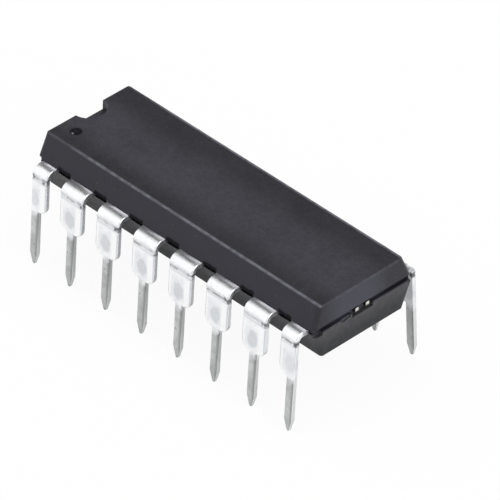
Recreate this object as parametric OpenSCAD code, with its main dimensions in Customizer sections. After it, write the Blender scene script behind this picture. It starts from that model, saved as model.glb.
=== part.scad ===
// Sixteen-lead dual in-line integrated circuit in a moulded plastic package.
// The pin tips stand on z = 0, +X runs along the package away from its notch,
// and the row of leads 1 to 8 is on the -Y side.

/* [Package body] */
// Length of body past the last pin of a row, at the parting line
end_margin = 0.42; // [0.3:0.01:1]
// Width of the body at its parting line
body_w = 6.69; // [6:0.01:8]
// Height of the upper half over the parting line
upper_h = 1.41; // [1.2:0.01:2]
// Depth of the lower half under the parting line
lower_h = 1.66; // [1.2:0.01:2.2]
// How far the lower half sits off the upper one, towards leads 9 to 16
half_shift = 0.11; // [0:0.01:0.15]
// Draft of the upper half's long walls, in degrees
upper_draft = 22.5; // [5:0.5:25]
// Draft of the lower half's long walls, in degrees
lower_draft = 20; // [5:0.5:25]
// Draft of the two end walls, in degrees
end_draft = 2.7; // [1:0.1:10]
// Radius along the edges of the top face
top_edge_r = 0.1; // [0.04:0.01:0.2]
// Radius along the edges of the bottom face
bottom_edge_r = 0.06; // [0.04:0.01:0.4]
// Radius down the four corners
corner_r = 0.24; // [0.1:0.01:0.4]

/* [Parting line] */
// Height of the step round the two ends
step_h = 0.28; // [0.1:0.01:0.32]
// How far the step reaches under the parting line
step_low = 0.06; // [0.02:0.01:0.14]
// Depth of that step
step_depth = 0.18; // [0.04:0.01:0.2]
// Width of the pocket at each corner beside leads 1 and 8, where the dam bar ended
corner_pocket_w = 0.7; // [0.3:0.01:0.8]
// How much is chipped off each corner beside leads 9 and 16
corner_chip = 0.3; // [0.1:0.01:0.4]
// How far the pockets and the chips reach under the step
corner_low = 0.22; // [0.04:0.01:0.3]
// Depth of the pocket left where the dam bar was punched out between two leads
dam_depth = 0.24; // [0.1:0.01:0.35]
// Height of the flash that stays in a pocket, beside the next lead
flash_h = 0.16; // [0.06:0.01:0.22]

/* [Marks] */
// Width of the half-round notch at the pin 1 end
notch_w = 1.85; // [1.2:0.01:2.4]
// Depth of the notch
notch_depth = 0.61; // [0.3:0.01:0.9]
// Distance of the notch from the middle of its edge
notch_shift = 0.12; // [0:0.01:0.3]
// Diameter of the dimple beside pin 1
dimple_d = 0.58; // [0.4:0.01:1]
// Depth of the dimple
dimple_depth = 0.17; // [0.08:0.01:0.25]
// Distance of the dimple from the end edge of the top face
dimple_x = 1.02; // [0.7:0.01:1.6]
// Distance of the dimple from the long edge of the top face
dimple_y = 1.08; // [0.7:0.01:1.6]
// Diameter of the two ejector marks under the body
ejector_d = 1.6; // [1:0.1:2.4]
// Depth of the ejector marks
ejector_depth = 0.05; // [0.02:0.01:0.1]
// Distance between the two ejector marks
ejector_gap = 11.4; // [8:0.1:14]
// Width of the scar left by the gate
gate_w = 0.66; // [0.4:0.01:1]
// Height of the gate's scar
gate_h = 0.2; // [0.12:0.01:0.24]
// Distance of the gate from the middle of the lower half's end, towards leads 1 to 8
gate_side = 1.21; // [1.1:0.01:1.7]
// Depth of the gate's scar
scar_depth = 0.06; // [0.03:0.01:0.1]

/* [Leads] */
// Distance from one lead to the next
lead_pitch = 2.54; // [2.4:0.01:2.6]
// Thickness of the lead frame
lead_t = 0.25; // [0.2:0.01:0.3]
// Thickness of a pin's coined tip
tip_t = 0.14; // [0.1:0.01:0.18]
// Height of the lead frame's middle plane over the pin tips
frame_z = 5.565; // [5:0.005:6.5]
// Width across both rows of leads, over the outside of their bends
row_span = 8; // [7.8:0.01:9]
// Inside radius of the bend
bend_r = 0.25; // [0.15:0.01:0.35]
// Angle by which the legs splay out, in degrees
splay = 3.3; // [0:0.1:8]
// Depth of the crease that the forming tool leaves across a lead, under its bend
crease_depth = 0.03; // [0.01:0.005:0.05]
// Radius of the crease
crease_r = 0.1; // [0.06:0.01:0.2]
// Distance of the crease from the end of the bend
crease_drop = 0.01; // [0:0.01:0.2]
// Width of a shoulder
shoulder_w = 1.55; // [1.2:0.01:1.8]
// Height of the shoulders' lower edge, where the part seats, over the pin tips
seat_h = 3.18; // [2.8:0.01:3.6]
// Radius of a shoulder's lower corners
shoulder_r = 0.5; // [0.3:0.01:0.5]
// Width of a pin
pin_w = 0.5; // [0.36:0.01:0.56]
// Width of a pin's rounded tip
tip_w = 0.24; // [0.16:0.01:0.3]
// Length over which a pin narrows to its tip
tip_l = 0.65; // [0.4:0.01:1]

/* [Inside the body] */
// Length of the die paddle
paddle_l = 5.2; // [4:0.1:5.6]
// Width of the die paddle
paddle_w = 2.5; // [2:0.05:2.6]
// Gap between the paddle and the lead fingers
finger_gap = 0.2; // [0.15:0.01:0.3]
// Width of a lead finger
finger_w = 0.3; // [0.24:0.01:0.34]
// Straight stretch of the fingers that end at the long side of the paddle
side_finger_l = 0.35; // [0.25:0.01:0.4]
// Straight stretch of the outer fingers that end at the paddle's short side
end_finger_l = 1.1; // [0.8:0.01:1.4]
// Straight stretch of the inner fingers there, which come from the last leads
long_finger_l = 2.3; // [2:0.01:2.6]
// How far a shoulder reaches into the body from the parting line
anchor_l = 0.6; // [0.4:0.01:0.7]
// Width of the tie bars at the ends of the body
tie_w = 0.28; // [0.2:0.01:0.4]
// Distance between the middles of the two tie bars
tie_gap = 0.7; // [0.6:0.01:0.8]
// How far the tie bars' cut ends lie behind the widest part of the end wall
stub_in = 0.03; // [0:0.01:0.1]
// Length of the two tie bars, from their fork to the end of the body
fork_l = 1.6; // [1.3:0.01:1.9]
// Length of the chip
die_l = 2.6; // [2:0.1:3.2]
// Width of the chip
die_w = 1.8; // [1.4:0.1:2]
// Thickness of the chip
die_h = 0.3; // [0.2:0.01:0.4]
// Thickness of the adhesive under the chip
attach_h = 0.03; // [0.02:0.01:0.05]
// Diameter of a bond wire
wire_d = 0.032; // [0.025:0.001:0.05]
// How high a bond wire arches over the line between its two ends
wire_rise = 0.32; // [0.2:0.01:0.4]

/* [Hidden] */
// Leads in a row, and in each half of it
row = 8;
per_side = row / 2;
$fn = 64;

// Sizes that follow from the ones above
body_l = 2 * (outer_edge(per_side - 1) + end_margin);
top_z = frame_z + upper_h;
bottom_z = frame_z - lower_h;
top_l = body_l - 2 * upper_h * tan(end_draft);
top_w = body_w - 2 * upper_h * tan(upper_draft);
lead_top = frame_z + lead_t / 2;
bend_out = bend_r + lead_t;
bend_y = row_span / 2 - bend_out;
bend_z = lead_top - bend_out;
crease_half = sqrt(crease_depth * (2 * crease_r - crease_depth));
// Extra length of a cutting or clipping shape past what it cuts
over = 1;

// Where the parts inside lie
paddle_top = lead_top;
die_bottom = paddle_top + attach_h;
die_top = die_bottom + die_h;
stub_x = body_l / 2 - stub_in;
anchor_y = body_w / 2 - anchor_l;
paddle_end = paddle_l / 2 + finger_gap;
paddle_side = paddle_w / 2 + finger_gap;
end_tie_w = tie_gap + tie_w;
// One bar of half that width runs from the fork to the paddle
neck_w = end_tie_w / 2;
fork_x = stub_x - fork_l;
// Rows of the two fingers beside that bar
inner_tip_y = neck_w / 2 + finger_gap + finger_w / 2;
outer_tip_y = inner_tip_y + finger_w + finger_gap;
// Places along the paddle of the two fingers at its long side
side_tip_x = [0.3 * paddle_l / 2, 0.8 * paddle_l / 2];
// Fingers start inside their shoulder and turn a little way before its edge
finger_root = 0.2;
finger_neck = 0.1;
// The last lead's finger leaves its shoulder off the lead's own line
last_finger_in = 0.3;
// The recess round them leaves them standing this far out of its floor
stub_out = 0.2;
tie_clear = 0.2;
// Bonding pads lie this far in from the chip's edge
pad_inset = 0.12;
// Places of the pads along the chip's long edge and along its end, as shares of
// its half length and of its half width
long_pads = [0.2, 0.65];
end_pads = [0.68, 0.3];
// A wire's ball on its pad, and its stitch this far along the finger
ball_d = 2.8 * wire_d;
ball_h = 0.9 * wire_d;
stitch_d = 2.5 * wire_d;
stitch_in = 0.16;
// Height of the wire's ends in its ball and in its stitch
wire_end = 0.6 * ball_h;
// A wire's section has few sides, because it is so thin
wire_sides = 12;
// Share of a pocket's length that has no flash
clear_share = 0.55;

function unit(v) = v / norm(v);
function left_of(v) = [-v.y, v.x];
// Centre-line place of lead j, counted from the middle of the row
function lead_x(j) = (j + 0.5) * lead_pitch;
// Lead n's place in the row, from 0 at the middle to 3 at either end
function rank(n) = abs(n <= row ? n - per_side - 0.5 : n - row - per_side - 0.5) - 0.5;
// Which end of the body, and which side, lead n is on
function end_sign(n) = (n <= row ? n - per_side - 0.5 : row + per_side + 0.5 - n) > 0 ? 1 : -1;
function side_sign(n) = n <= row ? -1 : 1;
// Shoulder edges of lead j, towards the middle of the body and towards its end.
// The last lead of a row has half a shoulder, flush with its pin on the outside.
function inner_edge(j) = lead_x(j) - shoulder_w / 2;
function outer_edge(j) = lead_x(j) + (j == per_side - 1 ? pin_w / 2 : shoulder_w / 2);

// Centre line of lead j's finger, from its shoulder to its tip beside the paddle
function finger_line(j) =
    let (root_x = lead_x(j) - (j == per_side - 1 ? last_finger_in : 0))
    concat([[root_x, anchor_y + finger_root], [root_x, anchor_y - finger_neck]],
        j < 2 ? [[side_tip_x[j], paddle_side + side_finger_l], [side_tip_x[j], paddle_side]] :
        j == 2 ? [[paddle_end + end_finger_l, outer_tip_y], [paddle_end, outer_tip_y]] :
                 [[paddle_end + long_finger_l, inner_tip_y], [paddle_end, inner_tip_y]]);
// End of lead j's finger
function finger_tip(j) = finger_line(j)[3];

// Place where lead j's wire leaves the chip: along its long edge for the middle
// two leads of a row, and at its end for the other two
function pad_spot(j) =
    j < 2 ? [long_pads[j] * die_l / 2, die_w / 2 - pad_inset]
          : [die_l / 2 - pad_inset, end_pads[j - 2] * die_w / 2];
// Place where the wire is stitched to the finger
function stitch_spot(j) =
    j < 2 ? finger_tip(j) + [0, stitch_in] : finger_tip(j) + [stitch_in, 0];

// A polygon with its corners rounded, each by its own radius: the outline is cut
// off at the tangent points, and a full circle fills each corner
module rounded_outline(points, radii) {
    count = len(points);
    function side(i, k) = unit(points[(i + k + count) % count] - points[i]);
    function half_angle(i) = acos(side(i, -1) * side(i, 1)) / 2;
    polygon([for (i = [0:count - 1], k = radii[i] > 0 ? [-1, 1] : [1])
        points[i] + side(i, k) * radii[i] / tan(half_angle(i))]);
    for (i = [0:count - 1]) if (radii[i] > 0)
        translate(points[i] + unit(side(i, -1) + side(i, 1)) * radii[i] / sin(half_angle(i)))
            circle(r = radii[i]);
}

// A strip of even width along a line of points, mitred where it turns
module strip(line, width) {
    last = len(line) - 1;
    function across(i) =
        i == 0 ? left_of(unit(line[1] - line[0])) :
        i == last ? left_of(unit(line[last] - line[last - 1])) :
        let (a = left_of(unit(line[i] - line[i - 1])), b = left_of(unit(line[i + 1] - line[i])))
            (a + b) / (1 + a * b);
    polygon(concat(
        [for (i = [0:last]) line[i] + across(i) * width / 2],
        [for (i = [last:-1:0]) line[i] - across(i) * width / 2]));
}

// Upper or lower half of the moulding, standing on the parting plane. Its walls
// are two drafted outlines extruded across each other.
module half_block(height, edge_r, draft) {
    shrink_l = height * tan(end_draft);
    shrink_w = height * tan(draft);
    module wall_outline(length, shrink)
        rounded_outline([[-length / 2, 0], [length / 2, 0],
            [length / 2 - shrink, height], [shrink - length / 2, height]], [0, 0, edge_r, edge_r]);
    difference() {
        intersection() {
            translate([0, body_w / 2 + over, 0]) rotate([90, 0, 0])
                linear_extrude(body_w + 2 * over) wall_outline(body_l, shrink_l);
            translate([-body_l / 2 - over, 0, 0]) rotate([90, 0, 90])
                linear_extrude(body_l + 2 * over) wall_outline(body_w, shrink_w);
        }
        for (sx = [0, 1], sy = [0, 1]) mirror([sx, 0, 0]) mirror([0, sy, 0])
            corner_cut(height, shrink_l, shrink_w, draft);
    }
}

// What is cut off one leaning corner of a half, to leave it round. The corner
// leans both ways, so the cut is laid out square to the corner's own line.
module corner_cut(height, shrink_l, shrink_w, draft) {
    foot = [body_l / 2, body_w / 2, 0];
    lean = [-shrink_l, -shrink_w, height];
    tilt = acos(lean.z / norm(lean));
    turn = atan2(lean.y, lean.x);
    // Outward directions of the two walls, seen along the corner's line
    along_x = [cos(tilt) * cos(turn), cos(tilt) * sin(turn), -sin(tilt)];
    along_y = [-sin(turn), cos(turn), 0];
    end_out = [cos(end_draft), 0, sin(end_draft)];
    side_out = [0, cos(draft), sin(draft)];
    a = [end_out * along_x, end_out * along_y];
    b = [side_out * along_x, side_out * along_y];
    middle = -corner_r * (a + b) / (1 + a * b);
    translate(foot) rotate([0, tilt, turn]) translate([0, 0, -over])
        linear_extrude(norm(lean) + 2 * over) difference() {
            polygon([middle, middle + corner_r * a, middle + (corner_r + over) * a,
                middle + (corner_r + over) * (a + b), middle + (corner_r + over) * b,
                middle + corner_r * b]);
            translate(middle) circle(r = corner_r);
        }
}

// Step round each end of the body, from the last lead on one side to the other.
// It reaches lower in a pocket at one corner, and in a chip off the other corner.
module end_step() {
    clear_x = outer_edge(per_side - 1);
    corner_z = frame_z - step_low - corner_low;
    for (s = [0, 1]) mirror([s, 0, 0]) {
        translate([0, 0, frame_z - step_low]) linear_extrude(step_h) difference() {
            translate([clear_x, -body_w / 2 - over]) square([body_l / 2 - clear_x + over, body_w + 2 * over]);
            translate([0, step_depth - body_w / 2])
                square([body_l / 2 - step_depth, body_w - 2 * step_depth]);
        }
        translate([body_l / 2 - step_depth, -body_w / 2 - over, corner_z])
            cube([over, corner_pocket_w + over, corner_low + step_h]);
        translate([body_l / 2 - corner_chip, body_w / 2, corner_z]) linear_extrude(corner_low + step_h)
            polygon([[-over, over], [corner_chip + over, -corner_chip - over], [corner_chip + over, over]]);
    }
}

// Pocket between two leads, as high as the lead frame, with a wedge of flash
// left standing beside the lead further along the row
module dam_pocket(x0, x1) {
    flash_x = x0 + clear_share * (x1 - x0);
    translate([0, -body_w / 2 + dam_depth, frame_z]) rotate([90, 0, 0]) linear_extrude(dam_depth + over)
        polygon([[x0, lead_t / 2], [x0, -lead_t / 2], [flash_x, -lead_t / 2],
            [x1, flash_h - lead_t / 2], [x1, lead_t / 2]]);
}

module dam_pockets() {
    for (k = [1:row - 1]) {
        j0 = rank(k);
        j1 = rank(k + 1);
        x0 = end_sign(k) > 0 ? outer_edge(j0) : -inner_edge(j0);
        x1 = end_sign(k + 1) > 0 ? inner_edge(j1) : -outer_edge(j1);
        for (s = [0, 1]) mirror([0, s, 0]) dam_pocket(x0, x1);
    }
}

// Recess in each end wall where the tie bars were cut off
module tie_recess() {
    for (s = [0, 1]) mirror([s, 0, 0])
        translate([stub_x - stub_out, -end_tie_w / 2 - tie_clear, frame_z - 0.5 * lead_t - tie_clear])
            cube([over, end_tie_w + 2 * tie_clear, lead_t + tie_clear]);
}

// Half-round notch at the pin 1 end
module notch() {
    translate([-top_l / 2, notch_shift, top_z - notch_depth]) cylinder(d = notch_w, h = notch_depth + over);
}

// Dished dimple beside pin 1, cut by a ball
module dimple() {
    ball_r = (dimple_d * dimple_d / 4 + dimple_depth * dimple_depth) / (2 * dimple_depth);
    translate([dimple_x - top_l / 2, dimple_y - top_w / 2, top_z + ball_r - dimple_depth]) sphere(r = ball_r);
}

module ejector_marks() {
    for (s = [-1, 1]) translate([s * ejector_gap / 2, half_shift, bottom_z - over])
        cylinder(d = ejector_d, h = ejector_depth + over);
}

// Scar under the step where the gate, by which the compound flowed in, broke off
module gate_scar() {
    ragged = [[-0.5, -0.6], [-0.2, -1], [0.14, -0.7], [0.5, -0.55], [0.42, 0], [-0.44, 0]];
    translate([body_l / 2 - scar_depth, half_shift - gate_side, frame_z - step_low]) rotate([90, 0, 90])
        linear_extrude(over) polygon([for (p = ragged) [p.x * gate_w, p.y * gate_h]]);
}

// The black package, moulded in one shot round the lead frame and the chip
module mould_body() {
    color([0.235, 0.235, 0.25]) difference() {
        union() {
            translate([0, 0, frame_z]) half_block(upper_h, top_edge_r, upper_draft);
            translate([0, half_shift, frame_z]) mirror([0, 0, 1])
                half_block(lower_h, bottom_edge_r, lower_draft);
        }
        end_step();
        dam_pockets();
        tie_recess();
        gate_scar();
        notch();
        dimple();
        ejector_marks();
        for (n = [1:2 * row]) lead(n);
        die_paddle();
        die_attach();
        silicon_die();
        for (n = [1:2 * row]) bond_wire(n);
    }
}

// Side view of a lead outside the body: shoulder, bend, crease and splayed leg
module lead_profile() {
    leg_l = bend_z / cos(splay);
    taper = (lead_t - tip_t) / 2;
    translate([anchor_y, frame_z - lead_t / 2]) square([bend_y - anchor_y, lead_t]);
    translate([bend_y, bend_z]) {
        intersection() {
            difference() {
                circle(r = bend_out);
                circle(r = bend_r);
            }
            polygon([[0, 0], [0, 2 * bend_out], [2 * bend_out, 2 * bend_out],
                2 * bend_out * [cos(splay), sin(splay)]]);
        }
        rotate(splay) difference() {
            polygon([[bend_r, 0], [bend_out, 0], [bend_out, tip_l - leg_l],
                [bend_out - taper, -leg_l], [bend_out - taper, -leg_l - over],
                [bend_r + taper, -leg_l - over], [bend_r + taper, -leg_l], [bend_r, tip_l - leg_l]]);
            translate([bend_out + crease_r - crease_depth, -crease_drop - crease_half]) circle(r = crease_r);
        }
    }
}

// Front view of a lead: shoulder with round lower corners, pin and pointed tip
module lead_front(j) {
    left = inner_edge(j);
    right = outer_edge(j);
    half_shoulder = j == per_side - 1;
    rounded_outline([[left, seat_h], [right, seat_h], [right, top_z], [left, top_z]],
        [shoulder_r, half_shoulder ? 0 : shoulder_r, 0, 0]);
    translate([lead_x(j), 0]) {
        translate([-pin_w / 2, tip_l]) square([pin_w, seat_h + shoulder_r - tip_l]);
        polygon([[-pin_w / 2, tip_l], [pin_w / 2, tip_l], [tip_w / 2, tip_w / 2], [-tip_w / 2, tip_w / 2]]);
        translate([0, tip_w / 2]) circle(d = tip_w);
    }
}

// Lead j of a quarter of the part, at the +X end and on the +Y side
module lead_shape(j) {
    intersection() {
        rotate([90, 0, 90]) linear_extrude(body_l) lead_profile();
        translate([0, row_span, 0]) rotate([90, 0, 0]) linear_extrude(row_span) lead_front(j);
    }
    translate([0, 0, frame_z - lead_t / 2]) linear_extrude(lead_t) strip(finger_line(j), finger_w);
}

module lead(n) {
    color([0.82, 0.83, 0.85])
        mirror([end_sign(n) < 0 ? 1 : 0, 0, 0]) mirror([0, side_sign(n) < 0 ? 1 : 0, 0]) lead_shape(rank(n));
}

// Paddle that carries the chip, with a forked tie bar to each end of the body
module die_paddle() {
    color([0.8, 0.8, 0.82]) translate([0, 0, frame_z - lead_t / 2]) linear_extrude(lead_t) {
        translate([-paddle_l / 2, -paddle_w / 2]) square([paddle_l, paddle_w]);
        translate([-fork_x, -neck_w / 2]) square([2 * fork_x, neck_w]);
        for (s = [-1, 1]) {
            translate([s * fork_x - tie_w / 2, -end_tie_w / 2]) square([tie_w, end_tie_w]);
            for (t = [-1, 1]) translate([s > 0 ? fork_x : -stub_x, t * tie_gap / 2 - tie_w / 2])
                square([stub_x - fork_x, tie_w]);
        }
    }
}

module die_attach() {
    color([0.75, 0.72, 0.66]) translate([0, 0, paddle_top + attach_h / 2])
        cube([die_l + 2 * attach_h, die_w + 2 * attach_h, attach_h], center = true);
}

module silicon_die() {
    color([0.36, 0.38, 0.45]) translate([0, 0, die_bottom + die_h / 2])
        cube([die_l, die_w, die_h], center = true);
}

// Gold wire from the chip to finger j: a ball on the chip, an arch, and a stitch
// on the finger
module wire_shape(j) {
    from = pad_spot(j);
    to = stitch_spot(j);
    run = norm(to - from);
    drop = die_top - lead_top;
    chord = norm([run, drop]);
    arch_r = (chord * chord / 4 + wire_rise * wire_rise) / (2 * wire_rise);
    half_turn = asin(chord / 2 / arch_r);
    lean = atan2(drop, run);
    translate([from.x, from.y, die_top]) cylinder(d = ball_d, h = ball_h);
    translate([to.x, to.y, lead_top]) cylinder(d = stitch_d, h = ball_h);
    translate([from.x, from.y, die_top + wire_end]) rotate([0, 0, atan2(to.y - from.y, to.x - from.x)])
        rotate([90, lean, 0]) translate([chord / 2, wire_rise - arch_r, 0]) rotate([0, 0, 90 - half_turn])
            rotate_extrude(angle = 2 * half_turn) translate([arch_r, 0]) circle(d = wire_d, $fn = wire_sides);
}

module bond_wire(n) {
    color([0.9, 0.72, 0.3])
        mirror([end_sign(n) < 0 ? 1 : 0, 0, 0]) mirror([0, side_sign(n) < 0 ? 1 : 0, 0]) wire_shape(rank(n));
}

mould_body();
for (n = [1:2 * row]) lead(n);
die_paddle();
die_attach();
silicon_die();
for (n = [1:2 * row]) bond_wire(n);
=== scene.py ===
"""Sixteen-lead dual in-line integrated circuit: finishes, light and camera."""

import math

import bmesh
import bpy
from mathutils import Matrix, Vector


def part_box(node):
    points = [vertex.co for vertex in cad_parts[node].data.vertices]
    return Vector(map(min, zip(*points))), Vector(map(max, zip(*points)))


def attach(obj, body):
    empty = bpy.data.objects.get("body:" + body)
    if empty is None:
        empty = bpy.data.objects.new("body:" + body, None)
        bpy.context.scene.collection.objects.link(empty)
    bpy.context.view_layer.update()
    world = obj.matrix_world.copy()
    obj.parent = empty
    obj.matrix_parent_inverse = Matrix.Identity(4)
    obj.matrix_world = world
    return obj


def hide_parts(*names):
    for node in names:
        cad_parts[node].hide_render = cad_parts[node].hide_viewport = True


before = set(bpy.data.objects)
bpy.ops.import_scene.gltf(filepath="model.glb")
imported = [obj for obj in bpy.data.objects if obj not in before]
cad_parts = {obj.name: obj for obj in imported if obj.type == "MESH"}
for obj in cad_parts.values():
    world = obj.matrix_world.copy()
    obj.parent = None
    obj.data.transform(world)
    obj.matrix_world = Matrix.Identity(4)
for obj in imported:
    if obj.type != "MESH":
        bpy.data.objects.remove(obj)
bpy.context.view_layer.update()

MM = 0.001
LEADS = [f"lead_{n}" for n in range(1, 17)]
WIRES = [f"bond_wire_{n}" for n in range(1, 17)]


def grey(level):
    return (level, level, level, 1)


# Sizes of the body that its finish follows
TOP_LENGTH = 18.98 * MM
TOP_WIDTH = 5.52 * MM
LONG_EDGE_INSET = 0.06 * MM
PARTING_Z = 5.565 * MM
DIMPLE_X = -8.47 * MM
DIMPLE_Y = -1.68 * MM
DIMPLE_RADIUS = 0.29 * MM
# Glint in the dimple, and how far out from its middle it fades
GLINT_X = DIMPLE_X - 0.11 * MM
GLINT_Y = DIMPLE_Y - 0.13 * MM
GLINT_FADE = (0.02 * MM, 0.10 * MM)
# Painted light: a pale band along the top, from the side of leads 1 to 8 to the other side
TOP_LIGHT_BAND_START = (-2.5 * MM, -1.0 * MM)
TOP_LIGHT_BAND_END = (0.2 * MM, 2.0 * MM)
# Painted light on the ends, and how far out from its middle it fades
END_LIGHT_Y = -0.5 * MM
END_LIGHT_FADE = (0.6 * MM, 2.6 * MM)
# Heights where the moulding turns from its lower tones to its upper ones, and where
# the lower ones turn from painted shade to painted light
UPPER_START = (PARTING_Z - 0.2 * MM, PARTING_Z - 0.1 * MM)
PAINTED_LIGHT_START = (4.2 * MM, 5.5 * MM)
# How far from an edge of the top the rubbing and its painted highlight fade, and where along
# the body those of the long edges grow to their full strength
LONG_RUB_AND_HIGHLIGHT_FADE = (0.03 * MM, 0.12 * MM)
END_RUB_AND_HIGHLIGHT_FADE = (0.03 * MM, 0.11 * MM)
FULL_RUB_AND_HIGHLIGHT_START = (-8.5 * MM, -5.5 * MM)
# Painted shade in the pockets of the dam bars: how far it begins from the middle of a lead and
# from the middle of the body, where its floor and its roof lie, and where the row ends
POCKET_FLANK = (0.78 * MM, 0.86 * MM)
POCKET_BACK = (3.0 * MM, 3.1 * MM)
POCKET_FLOOR = (5.40 * MM, 5.45 * MM)
POCKET_ROOF = (5.88 * MM, 6.02 * MM)
POCKETS_END = (8.8 * MM, 8.9 * MM)
# Cut ends of the tie bars away from pin 1, and the part of each that stays bright
STUB_START = (9.3 * MM, 9.4 * MM)
STUB_Y = 0.35 * MM
STUB_BRIGHT_SIDE = (0.07 * MM, 0.12 * MM)
STUB_BRIGHT_Z = (PARTING_Z - 0.07 * MM, PARTING_Z + 0.1 * MM)

LEAD_PITCH = 2.54 * MM
# Middle of a lead's bend as seen from the end, and the splay of the leg under it
BEND_OUT = 3.5 * MM
BEND_HIGH = 5.19 * MM
LEAD_SPLAY = math.radians(3.3)
# Nearer to the middle than this a lead is hidden in the body
HIDDEN_IN_BODY = 3.2 * MM
# Cosine past which a face is one of the sheet's own, and not one that the die cut
SHEET_LEAN = 0.6

# Rolled rim round a lead's outer face, and its share on the inner face
ROLL_WIDTH = 0.065 * MM
ROLL_SEGMENTS = 3
INNER_ROLL = 0.4
# What counts as one point, as one flat face and as a sharp edge on a lead
SAME_POINT = 0.0005 * MM
FLAT_ANGLE = math.radians(0.5)
SHARP_ANGLE = math.radians(30)

# Heights of the marks on a lead over the table, lowest and highest. Those called end or
# start are where one stretch fades into the next
PIN_SOLDER_END = (3.0 * MM, 3.55 * MM)
PAD_FOOT_END = (3.36 * MM, 3.44 * MM)
PAD_RIM_HIGHLIGHT = (3.0 * MM, 4.9 * MM)
PAD_EDGE = (3.4 * MM, 4.9 * MM)
PAD_DULL = (3.5 * MM, 4.6 * MM)
PRESSED_LINE = (4.96 * MM, 5.1 * MM)
BRUISE = (5.0 * MM, 5.3 * MM)
STAIN = (5.08 * MM, 5.22 * MM)
CREASE = (5.10 * MM, 5.33 * MM)
BEND_START = (5.10 * MM, 5.2 * MM)
RUBBED_START = (5.25 * MM, 5.45 * MM)
# Places of the marks across a lead, from its middle
PAD_MIDDLE = (-0.58 * MM, 0.34 * MM)
PAD_FOOT_FLANK = (0.27 * MM, 0.34 * MM)
PAD_FLANK = (0.66 * MM, 0.73 * MM)
BRUISE_FLANK = (0.48 * MM, 0.80 * MM)
SOLDER_PAINTED_SHADE_START = (0.06 * MM, 0.22 * MM)
# How far from the middle of the body the painted pale reflection on a lead ends, and the painted dark one
# past it
PALE_REFLECTION_END = (3.38 * MM, 3.48 * MM)
DARK_REFLECTION_END = (3.43 * MM, 3.62 * MM)
# How far along the body the corner leads begin, and the bruise at their outer corner
CORNER_LEADS_START = (8.2 * MM, 8.3 * MM)
CORNER_BRUISE = (8.98 * MM, 9.2 * MM)
# How far down a ragged line may drop from its highest place
SOLDER_RAGGED = 0.5 * MM
POCKET_RAGGED = 0.2 * MM
# Darker oval on a pad
OVAL_ACROSS = -0.05 * MM
OVAL_Z = 3.96 * MM
OVAL_HALF_WIDTH = 0.42 * MM
OVAL_HALF_HEIGHT = 0.6 * MM

# Tones of the moulding, the darkest and the lightest of each part
TOP_TONES = ((0.0085, 0.0085, 0.0120, 1), (0.0245, 0.0240, 0.0310, 1))
TOP_LIGHT_BAND_TONES = ((0.0220, 0.0210, 0.0310, 1), (0.0490, 0.0470, 0.0600, 1))
LOWER_PAINTED_LIGHT_TONES = ((0.044, 0.044, 0.050, 1), (0.062, 0.062, 0.068, 1))
BOTTOM_PAINTED_SHADE_TONES = ((0.010, 0.011, 0.013, 1), (0.022, 0.023, 0.028, 1))
SIDE_PAINTED_SHADING = (0.021, 0.019, 0.0315, 1)
END_PAINTED_LIGHT = (0.044, 0.048, 0.072, 1)
LOWER_SIDE_PAINTED_LIGHT = (0.09, 0.09, 0.095, 1)
FILLER = (0.12, 0.12, 0.125, 1)
RUBBED_AND_HIGHLIT_EPOXY = (0.16, 0.16, 0.19, 1)
DIMPLE_GLINT = (0.34, 0.34, 0.36, 1)
# Near black that stands in for painted shade
PAINTED_SHADE_BLACK = (0.006, 0.006, 0.007, 1)

# Tones of the leads
TIN_TONES = ((0.84, 0.855, 0.88, 1), (0.98, 0.985, 0.99, 1))
SOLDER_TONES = ((0.44, 0.455, 0.45, 1), (0.66, 0.67, 0.67, 1))
DULL_TIN = (0.72, 0.745, 0.77, 1)
OVAL_TIN = (0.52, 0.545, 0.57, 1)
EDGE_PAINTED_SHADE = (0.56, 0.57, 0.60, 1)
PRESSED_TIN = (0.60, 0.61, 0.63, 1)
CREASED_TIN = (0.42, 0.42, 0.44, 1)
SCRATCHED_TIN = (0.45, 0.45, 0.47, 1)
STAINED_TIN = (0.22, 0.22, 0.24, 1)
RUBBED_TIN = (0.14, 0.14, 0.15, 1)
BRUISED_TIN = (0.10, 0.10, 0.11, 1)
SOLDER_PAINTED_SHADE = (0.29, 0.30, 0.30, 1)
SOLDER_FLANK_PAINTED_LIGHT = (0.84, 0.85, 0.86, 1)
PIT = (0.16, 0.16, 0.16, 1)
ROOT_DARK_REFLECTION = (0.30, 0.30, 0.34, 1)
ROOT_PALE_REFLECTION = (0.54, 0.54, 0.58, 1)

# Tones of what the body encloses
FRAME_TONES = ((0.60, 0.57, 0.53, 1), (0.90, 0.89, 0.87, 1))
DARKENED_STUB_METAL = (0.03, 0.03, 0.033, 1)
ADHESIVE_TONES = ((0.45, 0.43, 0.38, 1), (0.72, 0.70, 0.65, 1))
CIRCUIT_TONES = ((0.16, 0.17, 0.24, 1), (0.24, 0.22, 0.27, 1))
CIRCUIT_LINES = (0.55, 0.52, 0.40, 1)
GOLD_TONES = ((0.85, 0.60, 0.22, 1), (0.98, 0.76, 0.36, 1))

# Light panels and a dark gap beside them: azimuth and elevation of the middle, half
# width and half height, in degrees, and colour
PANELS = {
    "left": (215, 19, 30, 32, grey(1.12)),
    "right": (350, 35, 28, 22, grey(1.7)),
    "above": (0, 88, 30, 30, grey(1.6)),
    "gap": (150, 48, 15, 12, grey(0.08)),
}
# Half width of a panel's soft rim, as the sine of its angle
PANEL_RIM = 0.1
# Light of the room, from the height of the table to straight overhead
ROOM_TONES = [(0.0, grey(0.8)), (0.3, grey(0.6)), (0.6, grey(0.42)), (1.0, grey(0.45))]

# Table: metres from its middle to its rim, its own tones, and how much of its white
# the camera and mirroring surfaces see through the shadow
TABLE_REACH = 3
TABLE_TONES = (grey(0.93), grey(0.95))
WHITE_SEEN = 0.93
WHITE_MIRRORED = 0.15

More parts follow.
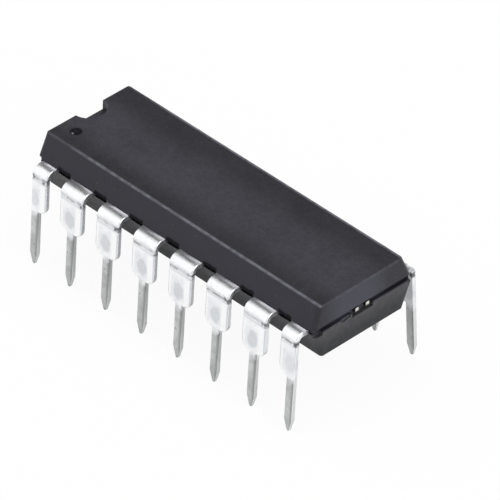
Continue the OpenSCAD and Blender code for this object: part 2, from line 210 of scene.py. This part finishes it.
# Camera: how far it stands round from the long side and above the table
VIEW_AZIMUTH = math.radians(45.95)
VIEW_ELEVATION = math.radians(37.89)
VIEW_ROLL = math.radians(0.27)
VIEW_DISTANCE = 300.84 * MM
VIEW_TARGET = Vector((0, 0, 3.5 * MM))
# The picture is 500 px wide, and the target lies this far from its middle
PICTURE_PX = 500
PX_PER_MM = 20.746
TARGET_PX_LEFT = 27.98
TARGET_PX_LOW = 0.886
SENSOR_MM = 36
NEAREST_SEEN = 10 * MM


class Value:
    """A shader value. An expression on it adds the Math nodes that work it out."""

    def __init__(self, finish, socket):
        self.finish = finish
        self.socket = socket

    def math(self, operation, *operands):
        inputs = dict(enumerate(operands))
        return self.finish.node("ShaderNodeMath", {"operation": operation}, inputs)

    def __add__(self, other):
        return self.math("ADD", self, other)

    __radd__ = __add__

    def __sub__(self, other):
        return self.math("SUBTRACT", self, other)

    def __rsub__(self, other):
        return self.math("SUBTRACT", other, self)

    def __mul__(self, other):
        return self.math("MULTIPLY", self, other)

    __rmul__ = __mul__

    def absolute(self):
        return self.math("ABSOLUTE", self)

    def fraction(self):
        return self.math("FRACT", self)

    def greater(self, other):
        """The greater of the two at each place."""
        return self.math("MAXIMUM", self, other)

    def between(self, low, high):
        """0 up to low, 1 from high on, and a smooth rise between them."""
        return self.finish.node("ShaderNodeMapRange", {"interpolation_type": "SMOOTHSTEP"},
                                {"Value": self, "From Min": low, "From Max": high})

    def within(self, low, high, soft):
        """1 from low to high and 0 outside, with rims that are soft wide."""
        above_low = self.between(low - soft / 2, low + soft / 2)
        above_high = self.between(high - soft / 2, high + soft / 2)
        return above_low * (1 - above_high)


class Finish:
    """The nodes of one material, or of the world."""

    def __init__(self, owner):
        owner.use_nodes = True
        self.owner = owner
        self.tree = owner.node_tree
        self.tree.nodes.clear()

    def node(self, kind, settings=None, inputs=None, output=0):
        """Adds a node: its settings first, then the values or links of its sockets."""
        made = self.tree.nodes.new(kind)
        for name, value in (settings or {}).items():
            if name == "stops":
                self.set_stops(made.color_ramp, value)
            else:
                setattr(made, name, value)
        for name, value in (inputs or {}).items():
            socket = made.inputs[name]
            if isinstance(value, Value):
                self.tree.links.new(value.socket, socket)
            else:
                socket.default_value = value
        return None if output is None else Value(self, made.outputs[output])

    @staticmethod
    def set_stops(ramp, stops):
        while len(ramp.elements) < len(stops):
            ramp.elements.new(1)
        for element, (place, colour) in zip(ramp.elements, stops):
            element.position = place
            element.color = colour

    def place(self):
        """The place on the object, in metres."""
        return self.node("ShaderNodeTexCoord", output="Object")

    def axes(self, vector):
        return [self.node("ShaderNodeSeparateXYZ", None, {0: vector}, output=axis) for axis in "XYZ"]

    def faces_along(self, axis):
        """1 where the surface faces along the axis X, Y or Z, either way, and 0 where
        it faces well away from it."""
        facing = self.node("ShaderNodeTexCoord", output="Normal")
        along = self.node("ShaderNodeSeparateXYZ", None, {0: facing}, output=axis)
        return along.absolute().between(0.6, 0.9)

    def stretched(self, vector, scale):
        """A vector scaled along each axis. A scale under 1 draws a pattern out that way."""
        return self.node("ShaderNodeVectorMath", {"operation": "MULTIPLY"}, {0: vector, 1: scale})

    def noise(self, vector, grain, detail, roughness=0.5):
        """Cloudy noise from 0 to 1 whose patches are about grain across."""
        return self.node("ShaderNodeTexNoise", None,
                         {"Vector": vector, "Scale": 1 / grain, "Detail": detail, "Roughness": roughness})

    def spots(self, vector, spacing, size):
        """1 in scattered spots that are up to size across, 0 elsewhere."""
        distance = self.node("ShaderNodeTexVoronoi", None, {"Vector": vector, "Scale": 1 / spacing},
                             output="Distance")
        return 1 - distance.between(0.3 * size / spacing, 0.5 * size / spacing)

    def hypotenuse(self, first, second):
        total = first * first + second * second
        return total.math("SQRT", total)

    def dot(self, vector, direction):
        return self.node("ShaderNodeVectorMath", {"operation": "DOT_PRODUCT"}, {0: vector, 1: direction},
                         output="Value")

    def mixed(self, share, first, second):
        """first where share is 0 and second where it is 1, as colours."""
        return self.node("ShaderNodeMix", {"data_type": "RGBA"}, {0: share, 6: first, 7: second}, output=2)

    def bump(self, height, distance):
        return self.node("ShaderNodeBump", None, {"Height": height, "Distance": distance})

    def principled(self, **inputs):
        """The main shader, with its sockets named as in base_color or specular_ior_level."""
        names = {name: name.replace("_", " ").title().replace("Ior", "IOR") for name in inputs}
        return self.node("ShaderNodeBsdfPrincipled", None, {names[name]: inputs[name] for name in inputs})

    def surface(self, shader):
        """Ends the nodes with their shader, and returns what they belong to."""
        in_world = isinstance(self.owner, bpy.types.World)
        kind = "ShaderNodeOutputWorld" if in_world else "ShaderNodeOutputMaterial"
        self.node(kind, None, {"Surface": shader}, output=None)
        return self.owner


def new_finish(name):
    return Finish(bpy.data.materials.new(name))


def across_lead(x):
    """Place across the nearest lead, from minus half to plus half the pitch."""
    return ((x * (1 / LEAD_PITCH)).fraction() - 0.5) * LEAD_PITCH


def upper_half(epoxy, place, clouds, mottle):
    """Colour of the top, the sides and the ends over the parting line. The top is
    palest along a broad band of painted light on the side of leads 1 to 8. The sides have
    bluish painted shading and the ends bluish painted light."""
    y = epoxy.axes(place)[1]
    speckle = epoxy.noise(place, grain=0.09 * MM, detail=2, roughness=0.7).between(0.35, 0.65)
    tone = clouds.between(0.35, 0.65) * 0.3 + mottle.between(0.3, 0.7) * 0.3 + speckle * 0.4
    # Painted light along a broad band of the top
    band = y.between(*TOP_LIGHT_BAND_START) * (1 - y.between(*TOP_LIGHT_BAND_END))
    colour = epoxy.mixed(band, epoxy.mixed(tone, *TOP_TONES), epoxy.mixed(tone, *TOP_LIGHT_BAND_TONES))
    # Painted shading on the sides: a bluish tone set by which way they face
    colour = epoxy.mixed(epoxy.faces_along("Y") * 0.6, colour, SIDE_PAINTED_SHADING)
    # Painted light on the ends, bluish, strongest near their middle
    by_middle = 1 - (y - END_LIGHT_Y).absolute().between(*END_LIGHT_FADE)
    end_light = epoxy.faces_along("X") * by_middle * (0.5 + 0.5 * mottle)
    return epoxy.mixed(end_light * 0.75, colour, END_PAINTED_LIGHT)


def lower_half(epoxy, place, mottle):
    """Colour under the parting line: pale with painted light next to it and on the sides, and dark with
    painted shade at the bottom.
    """
    z = epoxy.axes(place)[2]
    cloudy = mottle.between(0.3, 0.7)
    # Painted light on the lower half, stronger on its sides
    pale = epoxy.mixed(cloudy, *LOWER_PAINTED_LIGHT_TONES)
    pale = epoxy.mixed(epoxy.faces_along("Y") * 0.45, pale, LOWER_SIDE_PAINTED_LIGHT)
    # Painted shade towards the bottom
    return epoxy.mixed(z.between(*PAINTED_LIGHT_START), epoxy.mixed(cloudy, *BOTTOM_PAINTED_SHADE_TONES), pale)


def rubbed_and_highlit_edges(epoxy, place):
    """How far the edges round the top are rubbed lighter, partly as wear and partly as a
    painted highlight. The long ones are lightened least near pin 1, and the short ones little all along."""
    x, y, z = epoxy.axes(place)
    over_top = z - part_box("mould_body")[1][2]
    from_long_edge = epoxy.hypotenuse(y.absolute() - (TOP_WIDTH / 2 - LONG_EDGE_INSET), over_top)
    from_end_edge = epoxy.hypotenuse(x.absolute() - TOP_LENGTH / 2, over_top)
    far_from_pin_1 = x.between(*FULL_RUB_AND_HIGHLIGHT_START)
    long_edge = (1 - from_long_edge.between(*LONG_RUB_AND_HIGHLIGHT_FADE)) * (0.3 + 0.7 * far_from_pin_1)
    end_edge = (1 - from_end_edge.between(*END_RUB_AND_HIGHLIGHT_FADE)) * 0.3
    scuffs = epoxy.noise(place, grain=0.35 * MM, detail=4).between(0.35, 0.6)
    return long_edge.greater(end_edge) * (0.5 + 0.4 * scuffs)


def dam_bar_pocket_shade(epoxy, place, ragged):
    """Painted shade: 1 in the pockets that the punched-out dam bars left between the leads,
    with a ragged upper edge."""
    x, y, z = epoxy.axes(place)
    between_leads = across_lead(x).absolute().between(*POCKET_FLANK)
    over_floor = z.between(*POCKET_FLOOR)
    under_roof = 1 - (z + POCKET_RAGGED * ragged).between(*POCKET_ROOF)
    on_side = y.absolute().between(*POCKET_BACK)
    off_corner = 1 - x.absolute().between(*POCKETS_END)
    return between_leads * over_floor * under_roof * on_side * off_corner


def mould_compound():
    """Black filled epoxy: a matt grain with faint clouds and specks of filler. It is
    rubbed lighter along the edges of its top, partly as a painted highlight, has a painted
    glint in its dimple, and near-black painted shade in its dimple and in the pockets between the leads."""
    epoxy = new_finish("mould_compound")
    place = epoxy.place()
    x, y, z = epoxy.axes(place)
    clouds = epoxy.noise(place, grain=2.2 * MM, detail=4, roughness=0.6)
    mottle = epoxy.noise(place, grain=0.3 * MM, detail=3, roughness=0.6)
    grit = epoxy.noise(place, grain=0.05 * MM, detail=2, roughness=0.6)
    lower = 1 - z.between(*UPPER_START)
    colour = epoxy.mixed(lower, upper_half(epoxy, place, clouds, mottle), lower_half(epoxy, place, mottle))
    filler = epoxy.spots(place, spacing=0.5 * MM, size=0.08 * MM)
    colour = epoxy.mixed(filler * 0.3, colour, FILLER)
    # Edges of the top lighter: partly wear, partly a painted highlight
    colour = epoxy.mixed(rubbed_and_highlit_edges(epoxy, place), colour, RUBBED_AND_HIGHLIT_EPOXY)
    # Painted highlight in the dimple
    glint = 1 - epoxy.hypotenuse(x - GLINT_X, y - GLINT_Y).between(*GLINT_FADE)
    colour = epoxy.mixed(glint, colour, DIMPLE_GLINT)
    # Painted shade in and round the dimple and in the dam-bar pockets, mixed in as a near-black shader
    from_dimple = epoxy.hypotenuse(x - DIMPLE_X, y - DIMPLE_Y)
    dimple = 1 - from_dimple.between(0.85 * DIMPLE_RADIUS, 1.3 * DIMPLE_RADIUS)
    pockets = dam_bar_pocket_shade(epoxy, place, mottle)
    painted_shade = (dimple * (1 - glint) * 0.75).greater(pockets * 0.85)
    cured = epoxy.principled(
        base_color=colour,
        roughness=0.40 + 0.1 * mottle + 0.1 * clouds,
        specular_ior_level=0.35,
        normal=epoxy.bump(grit + 0.7 * mottle, 0.004 * MM))
    shade_black = epoxy.node("ShaderNodeBsdfDiffuse", None, {"Color": PAINTED_SHADE_BLACK})
    return epoxy.surface(epoxy.node("ShaderNodeMixShader", None, {0: painted_shade, 1: cured, 2: shade_black}))


def pad_marks(tin, colour, place, patches):
    """Colour of a lead's pad: a darker middle between painted highlights on its rims and foot,
    a thin line of painted shade at its very edge, and a darker oval, which is faint on the corner leads."""
    x, _, z = tin.axes(place)
    across = across_lead(x)
    front = 1 - tin.faces_along("X")
    middle = across.within(*PAD_MIDDLE, soft=0.18 * MM)
    colour = tin.mixed(middle * z.within(*PAD_DULL, soft=0.3 * MM) * 0.35, colour, DULL_TIN)
    foot = across.absolute().between(*PAD_FOOT_FLANK) * (1 - z.between(*PAD_FOOT_END))
    # Painted highlight on the rims and foot of the pad
    rim = (1 - middle).greater(foot) * z.within(*PAD_RIM_HIGHLIGHT, soft=0.3 * MM) * front
    colour = tin.mixed(rim * 0.85, colour, grey(1))
    # Painted shade in a thin line at the pad's very edge
    edge = across.absolute().between(*PAD_FLANK) * z.within(*PAD_EDGE, soft=0.3 * MM) * front
    colour = tin.mixed(edge * 0.7, colour, EDGE_PAINTED_SHADE)
    from_oval = tin.hypotenuse((across - OVAL_ACROSS) * (1 / OVAL_HALF_WIDTH),
                               (z - OVAL_Z) * (1 / OVAL_HALF_HEIGHT))
    oval = 1 - (from_oval + (patches - 0.5) * 0.4).between(0.62, 0.96)
    on_corner_lead = x.absolute().between(*CORNER_LEADS_START)
    return tin.mixed(oval * (0.5 - 0.22 * on_corner_lead), colour, OVAL_TIN)


def bend_marks(tin, colour, place, clouds, patches, scored):
    """Colour of a lead's bend: the line pressed under it, the tool's crease with its
    stains and bruises, scratches, and a rubbed patch on leads 9 to 16."""
    x, y, z = tin.axes(place)
    colour = tin.mixed(z.within(*PRESSED_LINE, soft=0.1 * MM) * 0.5, colour, PRESSED_TIN)
    crease = z.within(*CREASE, soft=0.1 * MM) * (0.4 + scored.between(0.42, 0.58) * 0.6)
    colour = tin.mixed(crease * 0.5, colour, CREASED_TIN)
    stain = clouds.between(0.46, 0.58) * z.within(*STAIN, soft=0.06 * MM)
    colour = tin.mixed(stain * 0.65, colour, STAINED_TIN)
    scratches = scored.between(0.60, 0.75) * z.between(*BEND_START)
    colour = tin.mixed(scratches * 0.3, colour, SCRATCHED_TIN)
    rubbed = y.between(0, 1 * MM) * z.between(*RUBBED_START) * patches.between(0.4, 0.55)
    colour = tin.mixed(rubbed * 0.55, colour, RUBBED_TIN)
    by_flank = across_lead(x).within(*BRUISE_FLANK, soft=0.12 * MM) * patches.between(0.42, 0.6)
    by_corner = x.absolute().within(*CORNER_BRUISE, soft=0.1 * MM) * patches.between(0.3, 0.5)
    bruise = by_flank.greater(by_corner) * z.within(*BRUISE, soft=0.12 * MM)
    return tin.mixed(bruise * 0.85, colour, BRUISED_TIN)


def dipped_solder(tin, place, tone):
    """Colour of the solder on a pin: painted shade on one side of its face, painted light on its flanks.
    """
    flank = tin.faces_along("X")
    colour = tin.mixed(tone, *SOLDER_TONES)
    # Painted shade on one side of the pin's face
    shaded = across_lead(tin.axes(place)[0]).between(*SOLDER_PAINTED_SHADE_START) * (1 - flank)
    colour = tin.mixed(shaded * 0.85, colour, SOLDER_PAINTED_SHADE)
    # Painted light on the pin's flanks
    return tin.mixed(flank * 0.8, colour, SOLDER_FLANK_PAINTED_LIGHT)


def tinned_lead():
    """Bright tin plating on a stamped lead, cloudy and softly brushed. It has a painted pale
    reflection and then a painted dark one where the lead leaves the body, is scored where
    the forming tool creased it under the bend, and is dull on the pins, which were dipped in solder."""
    tin = new_finish("tinned_lead")
    place = tin.place()
    _, y, z = tin.axes(place)
    brushed = tin.noise(tin.stretched(place, (1, 1, 0.12)), grain=0.06 * MM, detail=3, roughness=0.6)
    scored = tin.noise(tin.stretched(place, (0.2, 1, 1)), grain=0.07 * MM, detail=3, roughness=0.6)
    clouds = tin.noise(place, grain=0.8 * MM, detail=3, roughness=0.55)
    patches = tin.noise(place, grain=0.25 * MM, detail=2)
    tone = clouds.between(0.3, 0.7) * 0.65 + patches.between(0.3, 0.7) * 0.35
    colour = tin.mixed(tone, *TIN_TONES)
    colour = pad_marks(tin, colour, place, patches)
    colour = bend_marks(tin, colour, place, clouds, patches, scored)
    dipped = 1 - (z + SOLDER_RAGGED * patches).between(*PIN_SOLDER_END)
    colour = tin.mixed(dipped, colour, dipped_solder(tin, place, tone))
    pits = tin.spots(place, spacing=0.45 * MM, size=0.12 * MM)
    colour = tin.mixed(pits * 0.65 * (0.15 + 0.85 * dipped), colour, PIT)
    # Painted reflection where the lead leaves the body: pale next to it, then a dark line
    root = 1 - y.absolute().between(*DARK_REFLECTION_END)
    pale_reflection = 1 - y.absolute().between(*PALE_REFLECTION_END)
    colour = tin.mixed(root * 0.8, colour, tin.mixed(pale_reflection, ROOT_DARK_REFLECTION, ROOT_PALE_REFLECTION))
    relief = 0.6 * brushed + patches + z.between(*BEND_START) * scored
    return tin.surface(tin.principled(
        base_color=colour,
        metallic=1.0,
        roughness=0.20 + 0.06 * brushed + 0.06 * patches + 0.14 * dipped + 0.2 * root,
        normal=tin.bump(relief, 0.0028 * MM)))


def frame_metal():
    """Pale alloy of the paddle. The cut ends of its tie bars away from pin 1 are darker
    round a bright middle."""
    alloy = new_finish("frame_metal")
    place = alloy.place()
    x, y, z = alloy.axes(place)
    streaks = alloy.noise(alloy.stretched(place, (1, 1, 8)), grain=0.08 * MM, detail=3)
    colour = alloy.mixed(streaks.between(0.3, 0.7), *FRAME_TONES)
    from_stub = (y.absolute() - STUB_Y).absolute()
    bright = 1 - from_stub.between(*STUB_BRIGHT_SIDE)
    bright *= z.within(*STUB_BRIGHT_Z, soft=0.05 * MM)
    darkened_stub = x.between(*STUB_START) * (1 - bright)
    colour = alloy.mixed(darkened_stub * 0.9, colour, DARKENED_STUB_METAL)
    return alloy.surface(alloy.principled(
        base_color=colour,
        metallic=1.0,
        roughness=0.25 + 0.25 * streaks,
        normal=alloy.bump(streaks, 0.004 * MM)))


def die_adhesive():
    """Adhesive full of silver flake."""
    glue = new_finish("die_adhesive")
    flakes = glue.noise(glue.place(), grain=0.03 * MM, detail=2)
    colour = glue.mixed(flakes.between(0.4, 0.6), *ADHESIVE_TONES)
    return glue.surface(glue.principled(base_color=colour, metallic=0.4 + 0.4 * flakes, roughness=0.55))


def silicon():
    """Polished chip with the fine blocks of its circuit showing as faint colours."""
    chip = new_finish("silicon")
    place = chip.place()
    blocks = chip.node("ShaderNodeTexVoronoi", {"distance": "CHEBYCHEV"},
                       {"Vector": place, "Scale": 1 / (0.22 * MM)}, output="Color")
    rows = chip.node("ShaderNodeTexBrick", None,
                     {"Vector": place, "Scale": 1 / (0.1 * MM), "Color1": CIRCUIT_TONES[0],
                      "Color2": CIRCUIT_TONES[1], "Mortar": CIRCUIT_LINES, "Mortar Size": 0.05})
    colour = chip.node("ShaderNodeMix", {"data_type": "RGBA", "blend_type": "OVERLAY"},
                       {0: 0.35, 6: rows, 7: blocks}, output=2)
    return chip.surface(chip.principled(base_color=colour, metallic=0.6, roughness=0.18, coat_weight=0.3))


def gold_wire():
    """Drawn gold."""
    gold = new_finish("gold_wire")
    drawn = gold.noise(gold.place(), grain=0.02 * MM, detail=2)
    colour = gold.mixed(drawn, *GOLD_TONES)
    return gold.surface(gold.principled(base_color=colour, metallic=1.0, roughness=0.2 + 0.12 * drawn))


def dress(nodes, material):
    """Gives carried-over nodes their finish, in place of every slot that they have."""
    for name in nodes:
        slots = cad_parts[name].data.materials
        slots.clear()
        slots.append(material)


def sheet_side(face, row):
    """1 on a lead's outer face, -1 on its inner face and 0 on what the die cut. row is
    the side of the body that the lead is on, -1 or 1."""
    middle = face.calc_center_median()
    out = row * middle.y - BEND_OUT
    high = middle.z - BEND_HIGH
    if out < 0:
        sheet = Vector((0, 0, 1))
    elif high > 0:
        sheet = Vector((0, row * out, high)).normalized()
    else:
        sheet = Vector((0, row * math.cos(LEAD_SPLAY), math.sin(LEAD_SPLAY)))
    lean = face.normal.dot(sheet)
    return 0 if abs(lean) < SHEET_LEAN else math.copysign(1, lean)


def plated_lead(name, material):
    """A lead with the rolled rims that stamping and plating give it: round towards
    its outer face and nearly sharp towards its inner one."""
    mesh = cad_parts[name].data.copy()
    shape = bmesh.new()
    shape.from_mesh(mesh)
    bmesh.ops.remove_doubles(shape, verts=shape.verts, dist=SAME_POINT)
    bmesh.ops.dissolve_limit(shape, angle_limit=FLAT_ANGLE, verts=shape.verts, edges=shape.edges)
    lowest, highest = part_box(name)
    row = math.copysign(1, lowest[1] + highest[1])
    rolled = shape.edges.layers.float.new("bevel_weight_edge")
    for edge in shape.edges:
        sides = {sheet_side(face, row) for face in edge.link_faces}
        shown = all(abs(corner.co.y) > HIDDEN_IN_BODY for corner in edge.verts)
        if shown and 0 in sides and len(sides) == 2:
            edge[rolled] = 1 if 1 in sides else INNER_ROLL
    shape.to_mesh(mesh)
    shape.free()
    mesh.shade_smooth()
    mesh.set_sharp_from_angle(angle=SHARP_ANGLE)
    mesh.materials.clear()
    mesh.materials.append(material)
    piece = bpy.data.objects.new("plated_" + name, mesh)
    bpy.context.scene.collection.objects.link(piece)
    rims = piece.modifiers.new("rolled rims", "BEVEL")
    rims.width = ROLL_WIDTH
    rims.segments = ROLL_SEGMENTS
    rims.limit_method = "WEIGHT"
    rims.use_clamp_overlap = False
    rims.harden_normals = True
    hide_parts(name)
    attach(piece, "root")


def table_white():
    """White of the table. The camera sees it through most of the shadow, as in a
    picture that is lit from all round."""
    paper = new_finish("table_white")
    seen = paper.node("ShaderNodeLightPath", output="Is Camera Ray")
    mirrored = paper.node("ShaderNodeLightPath", output="Is Glossy Ray")
    white = paper.mixed(paper.noise(paper.place(), grain=3 * MM, detail=3), *TABLE_TONES)
    matt = paper.node("ShaderNodeBsdfDiffuse", None, {"Color": white})
    glow = paper.node("ShaderNodeEmission", None, {"Color": grey(1), "Strength": 1.0})
    share = (seen * WHITE_SEEN).greater(mirrored * WHITE_MIRRORED)
    return paper.surface(paper.node("ShaderNodeMixShader", None, {0: share, 1: matt, 2: glow}))


def table_top():
    """Table that the chip stands on."""
    table = bpy.data.meshes.new("table")
    shape = bmesh.new()
    bmesh.ops.create_grid(shape, x_segments=1, y_segments=1, size=TABLE_REACH)
    shape.to_mesh(table)
    shape.free()
    table.materials.append(table_white())
    piece = bpy.data.objects.new("table", table)
    bpy.context.scene.collection.objects.link(piece)


def toward(azimuth, elevation):
    """Unit vector to a place round the chip, by degrees from +X and above the table."""
    around, up = math.radians(azimuth), math.radians(elevation)
    return Vector((math.cos(up) * math.cos(around), math.cos(up) * math.sin(around), math.sin(up)))


def panel(studio, direction, azimuth, elevation, half_width, half_height):
    """1 where a direction meets a rectangular light panel that faces the chip, and 0
    beside it, with a soft rim."""
    middle = toward(azimuth, elevation)
    side = middle.cross(Vector((0, 0, 1))).normalized()
    top = side.cross(middle)
    # Leaves out the opposite directions, which measure the same along the side and top
    mask = studio.dot(direction, middle).between(0, 0.2)
    for axis, half in ((side, half_width), (top, half_height)):
        reach = math.sin(math.radians(half))
        off_middle = studio.dot(direction, axis).absolute()
        mask *= 1 - off_middle.between(reach - PANEL_RIM, reach + PANEL_RIM)
    return mask


def surroundings():
    """Studio round the table: pale walls low down, a darker ceiling, light panels,
    and plain white where the camera looks straight at it."""
    world = bpy.data.worlds.new("studio")
    bpy.context.scene.world = world
    studio = Finish(world)
    direction = studio.node("ShaderNodeTexCoord", output="Generated")
    height = studio.axes(direction)[2]
    light = studio.node("ShaderNodeValToRGB", {"stops": ROOM_TONES}, {0: height})
    for azimuth, elevation, half_width, half_height, colour in PANELS.values():
        shines = panel(studio, direction, azimuth, elevation, half_width, half_height)
        light = studio.mixed(shines, light, colour)
    seen = studio.node("ShaderNodeLightPath", output="Is Camera Ray")
    colour = studio.mixed(seen, light, grey(1))
    studio.surface(studio.node("ShaderNodeBackground", None, {"Color": colour, "Strength": 1.0}))


def camera():
    """Camera at the photograph's place: it faces the target, and then turns until
    the target lies left of the middle of the picture."""
    back = Vector((math.sin(VIEW_AZIMUTH) * math.cos(VIEW_ELEVATION),
                   -math.cos(VIEW_AZIMUTH) * math.cos(VIEW_ELEVATION), math.sin(VIEW_ELEVATION)))
    focal_px = PX_PER_MM / MM * VIEW_DISTANCE
    turned = back.to_track_quat("Z", "Y").to_matrix().to_4x4() @ Matrix.Rotation(VIEW_ROLL, 4, "Z")
    turned @= Matrix.Rotation(-math.atan(TARGET_PX_LEFT / focal_px), 4, "Y")
    turned @= Matrix.Rotation(math.atan(TARGET_PX_LOW / focal_px), 4, "X")
    lens = bpy.data.cameras.new("camera")
    lens.sensor_width = SENSOR_MM
    lens.lens = SENSOR_MM * focal_px / PICTURE_PX
    lens.clip_start = NEAREST_SEEN
    piece = bpy.data.objects.new("camera", lens)
    bpy.context.scene.collection.objects.link(piece)
    piece.matrix_world = Matrix.Translation(VIEW_TARGET + VIEW_DISTANCE * back) @ turned
    bpy.context.scene.camera = piece


dress(["mould_body"], mould_compound())
plating = tinned_lead()
for lead in LEADS:
    plated_lead(lead, plating)
dress(["die_paddle"], frame_metal())
dress(["die_attach"], die_adhesive())
dress(["silicon_die"], silicon())
dress(WIRES, gold_wire())

bpy.context.scene.view_settings.view_transform = "Standard"
table_top()
surroundings()
camera()
